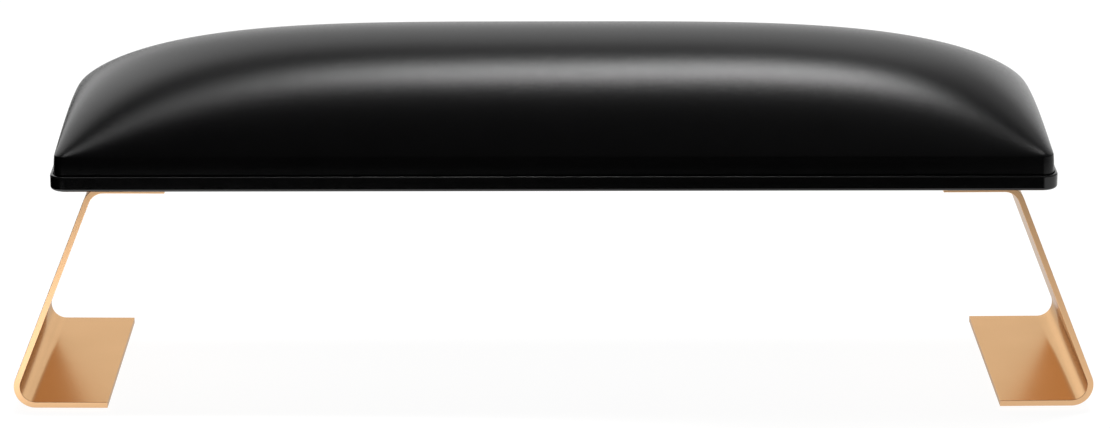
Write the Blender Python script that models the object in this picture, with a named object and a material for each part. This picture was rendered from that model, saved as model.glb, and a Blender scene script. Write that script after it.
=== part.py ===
"""Manicure hand rest: a domed pad, seated in a shallow tray, on two bent sheet-metal legs.

Metres, +Z up. X runs along the rest and Y across it. The origin lies on the surface that the
rest stands on, under the middle of the tray, and both legs are the same bent piece.
"""

import math

import bmesh
import bpy

# Clearances
SEAT_GAP = 0.0003
SCREW_CLEARANCE = 0.0003
STAPLE_CLEARANCE = 0.0003

# Tray
TRAY_LENGTH = 0.400
TRAY_WIDTH = 0.125
TRAY_HEIGHT = 0.0062
TRAY_CORNER_RADIUS = 0.0065
TRAY_FLOOR = 0.0018
TRAY_RIM = 0.0012
TRAY_EDGE_RADIUS = 0.0018
RIM_EDGE_RADIUS = 0.0005
RIM_CHAMFER = 0.0002
BOSS_RADIUS = 0.006

# Pad
LEATHER = 0.001
HEM_WIDTH = 0.013
HEM_FOLD_RADIUS = 0.0008
BOARD_THICKNESS = 0.008
FOAM_EDGE = 0.0012
DOME_RISE = 0.038
DOME_END_POWER = 3.8
DOME_END_ROUNDNESS = 0.5
DOME_SIDE_ROUNDNESS = 0.75

# Legs
LEG_HEIGHT = 0.0926
LEG_LEAN = math.radians(21.6)
LEG_INSET = 0.0157
LEG_SETBACK = 0.0075
LEG_TURN = math.radians(0.9)
SHEET = 0.0024
BEND_RADIUS = 0.0063
FOOT_LENGTH = 0.0376
FLANGE_LENGTH = 0.0302
SHEET_EDGE_RADIUS = 0.0003

# Anti-slip discs under the feet
GRIP_THICKNESS = 0.0015
GRIP_RADIUS = 0.008
GRIP_CHAMFER = 0.0003
GRIP_INSET = 0.008

# Screws and tee nuts
SCREWS_PER_LEG = 3
SCREW_RADIUS = 0.002
SCREW_HEAD_RADIUS = 0.004
SCREW_HEAD_HEIGHT = 0.0026
SCREW_TIP = 0.0005
SCREW_SETBACK = 0.0007
CROSS_WIDTH = 0.0009
CROSS_SPAN = 0.0042
CROSS_DEPTH = 0.0015
BOSS_CLEARANCE = 0.002
NUT_WALL = 0.0008
NUT_BARREL = 0.0065
NUT_FLANGE_RADIUS = 0.0075
NUT_FLANGE = 0.0011

# Staples
STAPLES_PER_SIDE = 9
STAPLES_PER_END = 3
STAPLE_CROWN = 0.010
STAPLE_LEG = 0.006
STAPLE_WIRE = 0.0005
STAPLE_WIDTH = 0.0009
STAPLE_CORNER_MARGIN = 0.018

# Facets
CORNER_STEPS = 3
LENGTH_STEPS = 22
WIDTH_STEPS = 14
BEND_STEPS = 9
ROUND_SIDES = 20

# Heights, from the surface up
FOOT_BOTTOM = GRIP_THICKNESS + SEAT_GAP
FLANGE_TOP = FOOT_BOTTOM + LEG_HEIGHT
TRAY_BOTTOM = FLANGE_TOP + SEAT_GAP
FLOOR_TOP = TRAY_BOTTOM + TRAY_FLOOR
HEM_BOTTOM = FLOOR_TOP + SEAT_GAP + STAPLE_WIRE + SEAT_GAP
BOARD_BOTTOM = HEM_BOTTOM + LEATHER + SEAT_GAP
BOARD_TOP = BOARD_BOTTOM + BOARD_THICKNESS
FOAM_BOTTOM = BOARD_TOP + SEAT_GAP
SHOULDER = FOAM_BOTTOM + FOAM_EDGE
CROWN_BOTTOM = HEM_BOTTOM - SEAT_GAP - STAPLE_WIRE

# Insets from the tray's outline
PAD_INSET = TRAY_RIM + SEAT_GAP
SKIN_INSET = PAD_INSET + LEATHER
BOARD_INSET = SKIN_INSET + SEAT_GAP
HEM_INSET = PAD_INSET + HEM_WIDTH

# Places of the screws
OUTER_BEND = BEND_RADIUS + SHEET
FLANGE_CORNER_X = TRAY_LENGTH / 2 - LEG_INSET
FLANGE_END_X = FLANGE_CORNER_X - FLANGE_LENGTH
FLANGE_BEND_X = FLANGE_CORNER_X - OUTER_BEND * math.tan(math.radians(45) - LEG_LEAN / 2)
SCREW_X = (FLANGE_END_X + FLANGE_BEND_X) / 2
SCREW_Y = TRAY_WIDTH / 2 - HEM_INSET - BOSS_CLEARANCE - BOSS_RADIUS
SCREW_SEAT = FLANGE_TOP - SHEET - SEAT_GAP
NUT_BORE = SCREW_RADIUS + SCREW_CLEARANCE
NUT_SEAT = BOARD_TOP + SEAT_GAP
SCREW_END = NUT_SEAT + NUT_FLANGE - SCREW_SETBACK
LEG_HALF_DEPTH = TRAY_WIDTH / 2 - LEG_SETBACK

# Places of the feet
FOOT_CORNER_X = FLANGE_CORNER_X + LEG_HEIGHT * math.tan(LEG_LEAN)
FOOT_BEND_X = FOOT_CORNER_X - OUTER_BEND * math.tan(math.radians(45) + LEG_LEAN / 2)
FOOT_OUTER_X = FOOT_BEND_X + OUTER_BEND
FOOT_END_X = FOOT_OUTER_X - FOOT_LENGTH


def clear_scene():
    for obj in list(bpy.data.objects):
        bpy.data.objects.remove(obj, do_unlink=True)


def material(name, color, roughness, metallic=0.0):
    made = bpy.data.materials.new(name)
    made.use_nodes = True
    shader = made.node_tree.nodes["Principled BSDF"]
    shader.inputs["Base Color"].default_value = (*color, 1.0)
    shader.inputs["Roughness"].default_value = roughness
    shader.inputs["Metallic"].default_value = metallic
    made.diffuse_color = (*color, 1.0)
    return made


def add_object(name, mesh_data):
    obj = bpy.data.objects.new(name, mesh_data)
    bpy.context.scene.collection.objects.link(obj)
    return obj


def finish_mesh(name, bm, finish):
    """Turns the bmesh into mesh data with outward faces, smooth but for its real edges."""
    bmesh.ops.recalc_face_normals(bm, faces=bm.faces)
    data = bpy.data.meshes.new(name)
    bm.to_mesh(data)
    bm.free()
    data.shade_smooth()
    data.set_sharp_from_angle(angle=math.radians(35))
    data.materials.append(finish)
    return data


def hide_cutter(obj):
    obj.hide_render = True
    obj.display_type = "WIRE"


def boolean(obj, operation, other):
    modifier = obj.modifiers.new(f"{operation.lower()} {other.name}", "BOOLEAN")
    modifier.operation = operation
    modifier.solver = "EXACT"
    modifier.object = other


def round_edges(obj, width):
    modifier = obj.modifiers.new("edge rounding", "BEVEL")
    modifier.width = width
    modifier.segments = 2
    modifier.limit_method = "ANGLE"
    modifier.angle_limit = math.radians(50)


# Plan outlines

def plan_size(inset):
    """Half length, half width and corner radius of the tray's outline, moved in by inset."""
    radius = max(TRAY_CORNER_RADIUS - inset, SEAT_GAP)
    return TRAY_LENGTH / 2 - inset, TRAY_WIDTH / 2 - inset, radius


def corner_points(inset):
    """Points (x, y) of the corner at -X, +Y, from the end's straight to the side's straight."""
    half_x, half_y, radius = plan_size(inset)
    points = []
    for step in range(CORNER_STEPS + 1):
        turn = math.pi / 2 * step / CORNER_STEPS
        x = -half_x + radius * (1 - math.cos(turn))
        y = half_y - radius * (1 - math.sin(turn))
        points.append((x, y))
    return points


def plain_loop(inset):
    """A rectangle with round corners, anticlockwise from above."""
    corner = corner_points(inset)
    loop = [(x, -y) for x, y in corner]
    loop += [(-x, -y) for x, y in reversed(corner)]
    loop += [(-x, y) for x, y in corner]
    loop += [(x, y) for x, y in reversed(corner)]
    return loop


def plan_columns(inset):
    """Columns of (x, y) points from -X to +X that fill the outline, closest at its edges."""
    corner = corner_points(inset)
    straight = -corner[-1][0]
    reach = corner[-1][1]
    steps = range(1, LENGTH_STEPS)
    middle = [(-straight * math.cos(math.pi * step / LENGTH_STEPS), reach) for step in steps]
    ends = [(-x, y) for x, y in reversed(corner)]
    shares = [-math.cos(math.pi * step / WIDTH_STEPS) for step in range(WIDTH_STEPS + 1)]
    return [[(x, y * share) for share in shares] for x, y in corner + middle + ends]


def rim_of(columns):
    """The border of a grid of columns, anticlockwise from above."""
    rim = [column[0] for column in columns]
    rim += columns[-1][1:]
    rim += [column[-1] for column in reversed(columns[:-1])]
    rim += reversed(columns[0][1:-1])
    return rim


# Mesh building

def ring_verts(bm, loop, z):
    return [bm.verts.new((x, y, z)) for x, y in loop]


def bridge(bm, lower, upper):
    count = len(lower)
    for index in range(count):
        after = (index + 1) % count
        bm.faces.new((lower[index], lower[after], upper[after], upper[index]))


def bridge_all(bm, rings):
    for lower, upper in zip(rings, rings[1:]):
        bridge(bm, lower, upper)


def dome_verts(bm, inset, rise):
    """The dome's grid of points over the outline at inset, rising from the shoulder."""
    columns = plan_columns(inset)
    half_x = plan_size(inset)[0]
    grid = []
    for column in columns:
        reach = column[-1][1]
        row = []
        for x, y in column:
            along = max(1 - abs(x / half_x) ** DOME_END_POWER, 0) ** DOME_END_ROUNDNESS
            across = max(1 - (y / reach) ** 2, 0) ** DOME_SIDE_ROUNDNESS
            row.append(bm.verts.new((x, y, SHOULDER + rise * along * across)))
        grid.append(row)
    return grid


def dome_faces(bm, grid):
    for left, right in zip(grid, grid[1:]):
        for j in range(len(left) - 1):
            bm.faces.new((left[j], right[j], right[j + 1], left[j + 1]))


def prism(bm, loop, bottom, top):
    lower = ring_verts(bm, loop, bottom)
    upper = ring_verts(bm, loop, top)
    bridge(bm, lower, upper)
    bm.faces.new(lower)
    bm.faces.new(upper)


def turned(bm, profile, center=(0.0, 0.0)):
    """A body turned round the vertical through center, from (radius, z) points.

    A profile that starts and ends on the axis is a solid; any other is closed into a ring.
    """
    solid = profile[0][0] == 0 and profile[-1][0] == 0
    rings = []
    for radius, z in profile[1:-1] if solid else profile:
        turns = [math.tau * side / ROUND_SIDES for side in range(ROUND_SIDES)]
        loop = [(center[0] + radius * math.cos(a), center[1] + radius * math.sin(a)) for a in turns]
        rings.append(ring_verts(bm, loop, z))
    bridge_all(bm, rings)
    if not solid:
        bridge(bm, rings[-1], rings[0])
        return
    for ring, (_, z) in ((rings[0], profile[0]), (rings[-1], profile[-1])):
        pole = bm.verts.new((*center, z))
        for index in range(ROUND_SIDES):
            bm.faces.new((ring[index], ring[(index + 1) % ROUND_SIDES], pole))


def cylinders(name, places, radius, bottom, top, finish):
    """One helper object with an upright cylinder at each place."""
    bm = bmesh.new()
    for place in places:
        turned(bm, [(0, bottom), (radius, bottom), (radius, top), (0, top)], place)
    obj = add_object(name, finish_mesh(name, bm, finish))
    hide_cutter(obj)
    return obj


# Places of repeated pieces

def screw_rows():
    """Screw places at one leg, from front to rear, at +X."""
    share = [2 * index / (SCREWS_PER_LEG - 1) - 1 for index in range(SCREWS_PER_LEG)]
    return [(SCREW_X, SCREW_Y * value) for value in share]


def screw_places():
    """Every screw as (side and number, x, y)."""
    places = []
    for side, sign in (("left", -1), ("right", 1)):
        for number, (x, y) in enumerate(screw_rows(), 1):
            places.append((f"{side}_{number}", sign * x, y))
    return places


def screw_centers():
    return [(x, y) for _, x, y in screw_places()]


def grip_places():
    """Every anti-slip disc as (side and end, x, y), turned with its leg."""
    out = (FOOT_END_X + FOOT_BEND_X) / 2 - SCREW_X
    along = LEG_HALF_DEPTH - GRIP_INSET - GRIP_RADIUS
    places = []
    for side, sign in (("left", -1), ("right", 1)):
        for end, y in (("front", -along), ("rear", along)):
            turned_x = SCREW_X + out * math.cos(LEG_TURN) - y * math.sin(LEG_TURN)
            turned_y = out * math.sin(LEG_TURN) + y * math.cos(LEG_TURN)
            places.append((f"{side}_{end}", sign * turned_x, turned_y))
    return places


def staple_places():
    """Every staple as (name, x, y, quarter turns), along the middle of the hem."""
    half_x, half_y, _ = plan_size((BOARD_INSET + HEM_INSET) / 2)
    places = []
    for index in range(STAPLES_PER_SIDE):
        share = 2 * index / (STAPLES_PER_SIDE - 1) - 1
        x = share * (half_x - STAPLE_CORNER_MARGIN)
        places.append((f"front_{index + 1}", x, -half_y, 0))
        places.append((f"rear_{index + 1}", x, half_y, 0))
    for index in range(STAPLES_PER_END):
        share = 2 * index / (STAPLES_PER_END - 1) - 1
        y = share * (half_y - STAPLE_CORNER_MARGIN)
        places.append((f"left_{index + 1}", -half_x, y, 1))
        places.append((f"right_{index + 1}", half_x, y, 1))
    return places


# Pieces

def leather_cover(finish, staple_slots):
    """One skin: the dome, the band round the board's edge and the hem turned under the board."""
    bm = bmesh.new()
    outer = dome_verts(bm, PAD_INSET, DOME_RISE)
    inner = dome_verts(bm, SKIN_INSET, DOME_RISE - LEATHER)
    fold = HEM_FOLD_RADIUS
    fold_steps = ((0, fold), (fold * 0.3, fold * 0.3), (fold, 0))
    rings = [rim_of(inner)]
    rings.append(ring_verts(bm, rim_of(plan_columns(SKIN_INSET)), HEM_BOTTOM + LEATHER))
    rings.append(ring_verts(bm, rim_of(plan_columns(HEM_INSET)), HEM_BOTTOM + LEATHER))
    rings.append(ring_verts(bm, rim_of(plan_columns(HEM_INSET)), HEM_BOTTOM))
    for inset, height in reversed(fold_steps):
        loop = rim_of(plan_columns(PAD_INSET + inset))
        rings.append(ring_verts(bm, loop, HEM_BOTTOM + height))
    rings.append(rim_of(outer))
    bridge_all(bm, rings)
    dome_faces(bm, outer)
    dome_faces(bm, inner)
    cover = add_object("leather_cover", finish_mesh("leather_cover", bm, finish))
    boolean(cover, "DIFFERENCE", staple_slots)


def foam_core(finish, pockets):
    bm = bmesh.new()
    grid = dome_verts(bm, BOARD_INSET, DOME_RISE - LEATHER - SEAT_GAP)
    bottom = ring_verts(bm, rim_of(plan_columns(BOARD_INSET)), FOAM_BOTTOM)
    bridge(bm, bottom, rim_of(grid))
    dome_faces(bm, grid)
    bm.faces.new(bottom)
    foam = add_object("foam_core", finish_mesh("foam_core", bm, finish))
    boolean(foam, "DIFFERENCE", pockets)


def pad_board(finish, nut_holes, staple_slots):
    bm = bmesh.new()
    prism(bm, plain_loop(BOARD_INSET), BOARD_BOTTOM, BOARD_TOP)
    board = add_object("pad_board", finish_mesh("pad_board", bm, finish))
    boolean(board, "DIFFERENCE", nut_holes)
    boolean(board, "DIFFERENCE", staple_slots)


def tray_wall_profile():
    """(inset, height) from the underside, round the lower edge, over the rim and down inside."""
    edge = TRAY_EDGE_RADIUS
    rim = RIM_EDGE_RADIUS
    turns = [math.radians(angle) for angle in (0, 30, 60, 90)]
    profile = [(edge * (1 - math.sin(a)), edge * (1 - math.cos(a))) for a in turns]
    top = TRAY_HEIGHT
    profile += [(rim * (1 - math.cos(a)), top - rim * (1 - math.sin(a))) for a in turns]
    profile.append((TRAY_RIM - RIM_CHAMFER, top))
    profile.append((TRAY_RIM, top - RIM_CHAMFER))
    profile.append((TRAY_RIM, TRAY_FLOOR))
    return profile


def base_tray(finish, bosses, screw_holes):
    bm = bmesh.new()
    rings = []
    for inset, height in tray_wall_profile():
        rings.append(ring_verts(bm, plain_loop(inset), TRAY_BOTTOM + height))
    bridge_all(bm, rings)
    bm.faces.new(rings[0])
    bm.faces.new(rings[-1])
    tray = add_object("base_tray", finish_mesh("base_tray", bm, finish))
    boolean(tray, "UNION", bosses)
    boolean(tray, "DIFFERENCE", screw_holes)


def bend_arc(center, radius, start, end):
    """Points of an arc in the leg's profile, from one angle to another."""
    points = []
    for step in range(BEND_STEPS + 1):
        angle = start + (end - start) * step / BEND_STEPS
        points.append((center[0] + radius * math.cos(angle), center[1] + radius * math.sin(angle)))
    return points


def leg_profile():
    """Closed (x, z) outline of the leg at +X: foot, slanted web and top flange."""
    foot_center = (FOOT_BEND_X, FOOT_BOTTOM + OUTER_BEND)
    flange_center = (FLANGE_BEND_X, FLANGE_TOP - OUTER_BEND)
    down = math.radians(-90)
    up = math.radians(90)
    outer = bend_arc(foot_center, OUTER_BEND, down, LEG_LEAN)
    outer += bend_arc(flange_center, OUTER_BEND, LEG_LEAN, up)
    inner = bend_arc(flange_center, BEND_RADIUS, up, LEG_LEAN)
    inner += bend_arc(foot_center, BEND_RADIUS, LEG_LEAN, down)
    flange_end = [(FLANGE_END_X, FLANGE_TOP), (FLANGE_END_X, FLANGE_TOP - SHEET)]
    foot_end = [(FOOT_END_X, FOOT_BOTTOM + SHEET), (FOOT_END_X, FOOT_BOTTOM)]
    return outer + flange_end + inner + foot_end


def legs(finish, screw_holes):
    """The same bent sheet twice, each turned a little about its screws, so that the legs
    stand closer together at the rear."""
    bm = bmesh.new()
    profile = [(x - SCREW_X, z) for x, z in leg_profile()]
    front = [bm.verts.new((x, -LEG_HALF_DEPTH, z)) for x, z in profile]
    rear = [bm.verts.new((x, LEG_HALF_DEPTH, z)) for x, z in profile]
    bridge(bm, front, rear)
    bm.faces.new(front)
    bm.faces.new(rear)
    data = finish_mesh("leg", bm, finish)
    for name, sign, turn in (("right_leg", 1, LEG_TURN), ("left_leg", -1, math.pi - LEG_TURN)):
        leg = add_object(name, data)
        leg.location.x = sign * SCREW_X
        leg.rotation_euler.z = turn
        round_edges(leg, SHEET_EDGE_RADIUS)
        boolean(leg, "DIFFERENCE", screw_holes)


def cross_cutters(finish):
    """A plus-shaped recess for each screw head, from below."""
    half = CROSS_WIDTH / 2
    reach = CROSS_SPAN / 2
    quarter = [(half, half), (half, reach), (-half, reach)]
    plus = []
    for turn in range(4):
        for x, y in quarter:
            for _ in range(turn):
                x, y = -y, x
            plus.append((x, y))
    bm = bmesh.new()
    bottom = SCREW_SEAT - SCREW_HEAD_HEIGHT
    for cx, cy in screw_centers():
        loop = [(cx + x, cy + y) for x, y in plus]
        prism(bm, loop, bottom - CROSS_DEPTH, bottom + CROSS_DEPTH)
    obj = add_object("cross_cutters", finish_mesh("cross_cutters", bm, finish))
    hide_cutter(obj)
    return obj


def screws(finish, cutters):
    head = SCREW_HEAD_HEIGHT
    radius = SCREW_HEAD_RADIUS
    length = SCREW_END - SCREW_SEAT
    profile = [
        (0, -head),
        (radius * 0.62, -head * 0.96),
        (radius * 0.88, -head * 0.75),
        (radius, -head * 0.4),
        (radius, 0),
        (SCREW_RADIUS, 0),
        (SCREW_RADIUS, length - SCREW_TIP),
        (SCREW_RADIUS - SCREW_TIP, length),
        (0, length),
    ]
    bm = bmesh.new()
    turned(bm, profile)
    data = finish_mesh("screw", bm, finish)
    for label, x, y in screw_places():
        screw = add_object(f"screw_{label}", data)
        screw.location = (x, y, SCREW_SEAT)
        boolean(screw, "DIFFERENCE", cutters)


def tee_nuts(finish):
    barrel = NUT_BORE + NUT_WALL
    profile = [
        (NUT_BORE, -NUT_BARREL),
        (barrel, -NUT_BARREL),
        (barrel, 0),
        (NUT_FLANGE_RADIUS, 0),
        (NUT_FLANGE_RADIUS, NUT_FLANGE),
        (NUT_BORE, NUT_FLANGE),
    ]
    bm = bmesh.new()
    turned(bm, profile)
    data = finish_mesh("tee_nut", bm, finish)
    for label, x, y in screw_places():
        nut = add_object(f"tee_nut_{label}", data)
        nut.location = (x, y, NUT_SEAT)


def grip_discs(finish):
    edge = GRIP_RADIUS - GRIP_CHAMFER
    profile = [
        (0, 0),
        (edge, 0),
        (GRIP_RADIUS, GRIP_CHAMFER),
        (GRIP_RADIUS, GRIP_THICKNESS),
        (0, GRIP_THICKNESS),
    ]
    bm = bmesh.new()
    turned(bm, profile)
    data = finish_mesh("grip_disc", bm, finish)
    for label, x, y in grip_places():
        disc = add_object(f"grip_{label}", data)
        disc.location = (x, y, 0)


def staple_profile():
    """(x, z) outline of a staple that opens upwards, its crown's underside at zero."""
    half = STAPLE_CROWN / 2
    tip = STAPLE_WIRE + STAPLE_LEG
    inside = half - STAPLE_WIRE
    return [
        (-half, 0),
        (half, 0),
        (half, tip),
        (inside, tip),
        (inside, STAPLE_WIRE),
        (-inside, STAPLE_WIRE),
        (-inside, tip),
        (-half, tip),
    ]


def staples(finish):
    bm = bmesh.new()
    half = STAPLE_WIDTH / 2
    front = [bm.verts.new((x, -half, z)) for x, z in staple_profile()]
    rear = [bm.verts.new((x, half, z)) for x, z in staple_profile()]
    bridge(bm, front, rear)
    bm.faces.new(front)
    bm.faces.new(rear)
    data = finish_mesh("staple", bm, finish)
    for label, x, y, quarter in staple_places():
        staple = add_object(f"staple_{label}", data)
        staple.location = (x, y, CROWN_BOTTOM)
        staple.rotation_euler.z = math.radians(90 * quarter)


def staple_slot_cutters(finish):
    """A slot round each staple leg, through the hem and up into the board."""
    along = STAPLE_WIRE / 2 + STAPLE_CLEARANCE
    across = STAPLE_WIDTH / 2 + STAPLE_CLEARANCE
    top = CROWN_BOTTOM + STAPLE_WIRE + STAPLE_LEG + STAPLE_CLEARANCE
    bottom = HEM_BOTTOM - STAPLE_CLEARANCE
    offset = (STAPLE_CROWN - STAPLE_WIRE) / 2
    bm = bmesh.new()
    for _, x, y, quarter in staple_places():
        for sign in (-1, 1):
            corners = [(-along, -across), (along, -across), (along, across), (-along, across)]
            loop = [(sign * offset + u, v) for u, v in corners]
            if quarter:
                loop = [(-v, u) for u, v in loop]
            prism(bm, [(x + u, y + v) for u, v in loop], bottom, top)
    obj = add_object("staple_slot_cutters", finish_mesh("staple_slot_cutters", bm, finish))
    hide_cutter(obj)
    return obj


def main():
    clear_scene()
    leather = material("black leatherette", (0.012, 0.012, 0.013), 0.42)
    foam = material("moulded foam", (0.62, 0.60, 0.52), 0.9)
    plywood = material("plywood", (0.55, 0.38, 0.22), 0.65)
    plastic = material("black plastic", (0.010, 0.010, 0.011), 0.3)
    copper = material("rose gold plate", (0.80, 0.45, 0.25), 0.28, 1.0)
    zinc = material("zinc plate", (0.62, 0.62, 0.60), 0.35, 1.0)
    rubber = material("black rubber", (0.02, 0.02, 0.02), 0.8)
    helper = material("helper", (1.0, 0.2, 0.2), 0.5)

    centers = screw_centers()
    hole = SCREW_RADIUS + SCREW_CLEARANCE
    below = FLANGE_TOP - 2 * SHEET
    boss_foot = TRAY_BOTTOM + TRAY_FLOOR / 2
    boss_top = BOARD_BOTTOM - SEAT_GAP
    bosses = cylinders("bosses", centers, BOSS_RADIUS, boss_foot, boss_top, helper)
    screw_holes = cylinders("screw_holes", centers, hole, below, BOARD_BOTTOM, helper)
    barrel_hole = NUT_BORE + NUT_WALL + SEAT_GAP
    nut_holes = cylinders("nut_holes", centers, barrel_hole, HEM_BOTTOM, SHOULDER, helper)
    pocket = NUT_FLANGE_RADIUS + SEAT_GAP
    pocket_top = NUT_SEAT + NUT_FLANGE + SEAT_GAP
    pockets = cylinders("pockets", centers, pocket, BOARD_TOP, pocket_top, helper)
    staple_slots = staple_slot_cutters(helper)

    leather_cover(leather, staple_slots)
    foam_core(foam, pockets)
    pad_board(plywood, nut_holes, staple_slots)
    base_tray(plastic, bosses, screw_holes)
    legs(copper, screw_holes)
    screws(zinc, cross_cutters(helper))
    tee_nuts(zinc)
    grip_discs(rubber)
    staples(zinc)


main()
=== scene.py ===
"""Looks of the manicure hand rest: its fine surfaces, its materials, the studio and the camera.

Metres, +Z up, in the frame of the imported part. Sizes come from the part's own boxes where they
can be read there, and else from the named values below. Those that the part's source has too are
the same there, apart from the radii of the edges and the facets, which are this script's own.
"""

import math

import bmesh
import bpy
from mathutils import Matrix, Vector

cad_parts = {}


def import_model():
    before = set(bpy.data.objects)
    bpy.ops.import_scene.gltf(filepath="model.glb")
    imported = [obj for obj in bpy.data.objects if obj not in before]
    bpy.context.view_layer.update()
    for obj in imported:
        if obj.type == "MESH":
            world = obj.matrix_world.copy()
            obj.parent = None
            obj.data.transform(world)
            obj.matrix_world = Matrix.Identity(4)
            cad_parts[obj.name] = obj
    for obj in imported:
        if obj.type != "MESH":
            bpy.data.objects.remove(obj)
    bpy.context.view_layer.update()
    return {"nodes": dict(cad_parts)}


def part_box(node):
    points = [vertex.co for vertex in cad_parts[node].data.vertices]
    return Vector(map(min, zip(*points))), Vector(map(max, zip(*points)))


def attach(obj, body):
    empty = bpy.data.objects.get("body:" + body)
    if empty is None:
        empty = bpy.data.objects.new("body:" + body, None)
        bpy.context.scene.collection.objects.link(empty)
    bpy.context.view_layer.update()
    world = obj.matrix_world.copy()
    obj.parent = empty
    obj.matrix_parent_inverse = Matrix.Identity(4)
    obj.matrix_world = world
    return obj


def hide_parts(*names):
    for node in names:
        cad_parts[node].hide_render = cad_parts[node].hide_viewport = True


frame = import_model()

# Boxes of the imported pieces
COVER_LOW, COVER_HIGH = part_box("leather_cover")
FOAM_LOW, FOAM_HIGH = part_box("foam_core")
BOARD_LOW, BOARD_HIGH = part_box("pad_board")
TRAY_LOW, TRAY_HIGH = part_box("base_tray")
LEG_LOW, LEG_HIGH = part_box("right_leg")
SCREW_LOW, SCREW_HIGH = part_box("screw_right_1")

# Clearances
SEAT_GAP = 0.0003
SCREW_CLEARANCE = 0.0003
STAPLE_CLEARANCE = 0.0003

# Tray
TRAY_HEIGHT = 0.0062
TRAY_CORNER_RADIUS = 0.0065
TRAY_FLOOR = 0.0018
TRAY_RIM = 0.0012
TRAY_EDGE_RADIUS = 0.0012
RIM_EDGE_RADIUS = 0.0007
RIM_CHAMFER = 0.0002
BOSS_RADIUS = 0.006

# Pad
LEATHER = 0.001
HEM_WIDTH = 0.013
HEM_FOLD_RADIUS = 0.0008
FOAM_EDGE = 0.0012
DOME_END_POWER = 3.8
DOME_END_ROUNDNESS = 0.5
DOME_SIDE_ROUNDNESS = 0.75
CREASE_REACH = 0.0002
CREASE_DROP = 0.0006
CREASE_SLOPE_STEP = 0.2
CREASE_BEND_LEAST = 0.25
BAND_PILLOW = 0.0001
BAND_LEAN = 0.0003

# Legs
LEG_LEAN = math.radians(21.6)
LEG_TURN = math.radians(0.9)
LEG_INSET = 0.0157
LEG_SETBACK = 0.0075
SHEET = 0.0024
BEND_RADIUS = 0.0063
FLANGE_LENGTH = 0.0302
FOOT_LENGTH = 0.0376
SHEET_EDGE_RADIUS = 0.00015

# Screws
SCREW_RADIUS = 0.002
SCREW_HEAD_HEIGHT = 0.0026
SCREW_TIP = 0.0005
THREAD_PITCH = 0.0007
THREAD_DEPTH = 0.0003
CROSS_WIDTH = 0.0009
CROSS_SPAN = 0.0042
CROSS_DEPTH = 0.0015
CROSS_TAPER = 0.6
HEAD_RIM_SHARE = 0.35
HEAD_DOME_ANGLES = (12, 30, 48, 64, 78, 90)

# Staples and anti-slip discs
STAPLE_WIRE = 0.0005
GRIP_EDGE_RADIUS = 0.0003

# Facets of the fine meshes
CORNER_STEPS = 14
LENGTH_STEPS = 150
WIDTH_STEPS = 64
CREASE_STEPS = 4
BAND_STEPS = 10
FOLD_STEPS = 4
BEND_STEPS = 28
EDGE_STEPS = 5
ROUND_SIDES = 48
SHAFT_SIDES = 28
THREAD_STEPS = 6
SHEET_EDGE_STEPS = 3

# Working values of the mesh tools
CLOSE_POINTS = 0.000002
SHEET_EDGE_ANGLE = 50
FLAT_FACE_WEIGHT = 100

# Heights and insets from the tray's outline
SHOULDER = FOAM_LOW.z + FOAM_EDGE
DOME_RISE = COVER_HIGH.z - SHOULDER
HEM_BOTTOM = COVER_LOW.z
PAD_INSET = TRAY_HIGH.x - COVER_HIGH.x
SKIN_INSET = PAD_INSET + LEATHER
BOARD_INSET = TRAY_HIGH.x - BOARD_HIGH.x
HEM_INSET = PAD_INSET + HEM_WIDTH
RIM_TOP = TRAY_LOW.z + TRAY_HEIGHT

# Tones, each from dark to pale, and the share of a texture's value over which they blend
LEATHER_TONES = ((0.0012, 0.0012, 0.0014), (0.0022, 0.0022, 0.0025))
TRAY_TONES = ((0.0012, 0.0012, 0.0014), (0.0022, 0.0022, 0.0024))
GOLD_TONES = ((0.85, 0.53, 0.285), (0.88, 0.55, 0.30))
ZINC_TONES = ((0.50, 0.50, 0.50), (0.66, 0.66, 0.64))
WOOD_TONES = ((0.36, 0.22, 0.11), (0.62, 0.44, 0.26))
FOAM_TONES = ((0.46, 0.43, 0.34), (0.68, 0.65, 0.56))
RUBBER_TONES = ((0.014, 0.014, 0.014), (0.028, 0.028, 0.028))
PLY_TONES = ((1.0, 1.0, 1.0), (0.55, 0.42, 0.32))
TONE_SPAN = (0.3, 0.7)
PLY_SPAN = (0.45, 0.55)
FOAM_SPAN = (0.1, 0.6)

# Roughness, from its least to its most
LEATHER_ROUGHNESS = (0.235, 0.255)
TRAY_ROUGHNESS = (0.15, 0.21)
GOLD_ROUGHNESS = (0.23, 0.26)
SHEARED_ROUGHNESS = (0.0, 0.2)
ZINC_ROUGHNESS = (0.26, 0.42)
WOOD_ROUGHNESS = (0.6, 0.75)
FOAM_ROUGHNESS = (0.85, 0.95)
RUBBER_ROUGHNESS = (0.65, 0.85)

# Features of the textures to the metre
LEATHER_CLOUDS = 90.0
LEATHER_SHEEN = 1100.0
LEATHER_GRAIN = 1900.0
LEATHER_PORES = 5200.0
TRAY_CLOUDS = 60.0
TRAY_SHEEN = 900.0
TRAY_GRAIN = 3600.0
GOLD_CLOUDS = 34.0
GOLD_STROKES = 2600.0
ZINC_CLOUDS = 700.0
ZINC_SHEEN = 1500.0
ZINC_GRAIN = 4000.0
WOOD_GRAIN = 7.0
FOAM_CLOUDS = 200.0
FOAM_CELLS = 1400.0
RUBBER_CLOUDS = 500.0
RUBBER_SHEEN = 1500.0
RUBBER_GRAIN = 3000.0

# Shine and depths of the relief
LEATHER_SPECULAR = 0.2
TRAY_SPECULAR = 0.42
GOLD_GRAZING_TINT = (0.54, 0.50, 0.45, 1.0)
PORE_DEPTH = 0.000012
GRAIN_DEPTH = 0.000016
GRAIN_WIDTH = 0.25
TRAY_DEPTH = 0.000006
STROKE_DEPTH = 0.0000015
ZINC_DEPTH = 0.000008
WOOD_DEPTH = 0.00008
FOAM_DEPTH = 0.0002
RUBBER_DEPTH = 0.00003

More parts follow.
